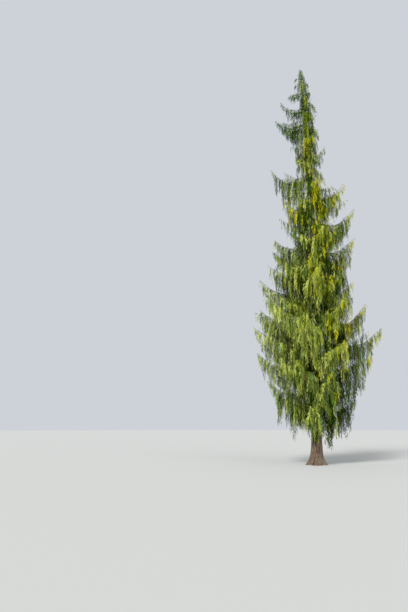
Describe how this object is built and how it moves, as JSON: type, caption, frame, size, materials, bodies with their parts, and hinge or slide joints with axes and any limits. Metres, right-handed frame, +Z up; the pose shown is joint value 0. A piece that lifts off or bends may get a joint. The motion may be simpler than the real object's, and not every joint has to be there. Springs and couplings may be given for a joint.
{
  "type": "weeping nootka cypress tree",
  "caption": "Tall slender weeping conifer: one straight trunk, boughs swept up at their tips with curtains of flat hanging sprays, and a thin nodding spire.",
  "frame": {"origin": "middle of the flat cut under the trunk, at ground level", "axes": "+Z up along the trunk, +X to the right and +Y away as seen in the picture"},
  "size_m": [4.8357, 3.8845, 16.2],
  "materials": {
    "bark": "rough, fibrous grey-brown bark",
    "golden_foliage": "matt yellow-green scale-leaved sprays",
    "sage_foliage": "matt sage-green scale-leaved sprays",
    "deep_foliage": "matt deep green scale-leaved sprays"
  },
  "bodies": {
    "root": {"trunk": "bark", "foliage_01": "deep_foliage", "foliage_02": "deep_foliage", "foliage_03": "deep_foliage", "foliage_04": "deep_foliage", "foliage_05": "deep_foliage", "foliage_06": "sage_foliage", "foliage_07": "sage_foliage", "foliage_08": "sage_foliage", "bough_09": "bark", "foliage_09": "sage_foliage", "foliage_10": "sage_foliage", "bough_11": "bark", "foliage_11": "sage_foliage", "bough_12": "bark", "foliage_12": "sage_foliage", "bough_13": "bark", "foliage_13": "sage_foliage", "foliage_14": "sage_foliage", "bough_15": "bark", "foliage_15": "sage_foliage", "bough_16": "bark", "foliage_16": "sage_foliage", "bough_17": "bark", "foliage_17": "sage_foliage", "foliage_18": "sage_foliage", "foliage_19": "sage_foliage", "foliage_20": "sage_foliage", "bough_21": "bark", "foliage_21": "sage_foliage", "foliage_22": "golden_foliage", "foliage_23": "golden_foliage", "foliage_24": "golden_foliage", "foliage_25": "golden_foliage", "foliage_26": "golden_foliage", "foliage_27": "golden_foliage", "foliage_28": "golden_foliage", "foliage_29": "golden_foliage", "foliage_30": "golden_foliage", "foliage_31": "golden_foliage", "foliage_32": "golden_foliage", "foliage_33": "golden_foliage", "foliage_34": "golden_foliage", "foliage_35": "golden_foliage", "foliage_36": "golden_foliage", "foliage_37": "golden_foliage", "foliage_38": "golden_foliage", "foliage_39": "deep_foliage", "foliage_40": "deep_foliage", "foliage_41": "deep_foliage", "foliage_42": "deep_foliage", "foliage_43": "deep_foliage", "foliage_44": "deep_foliage", "foliage_45": "deep_foliage", "foliage_46": "deep_foliage", "foliage_47": "deep_foliage", "foliage_48": "deep_foliage", "foliage_49": "deep_foliage", "foliage_50": "deep_foliage", "leader": "deep_foliage"}
  },
  "joints": []
}
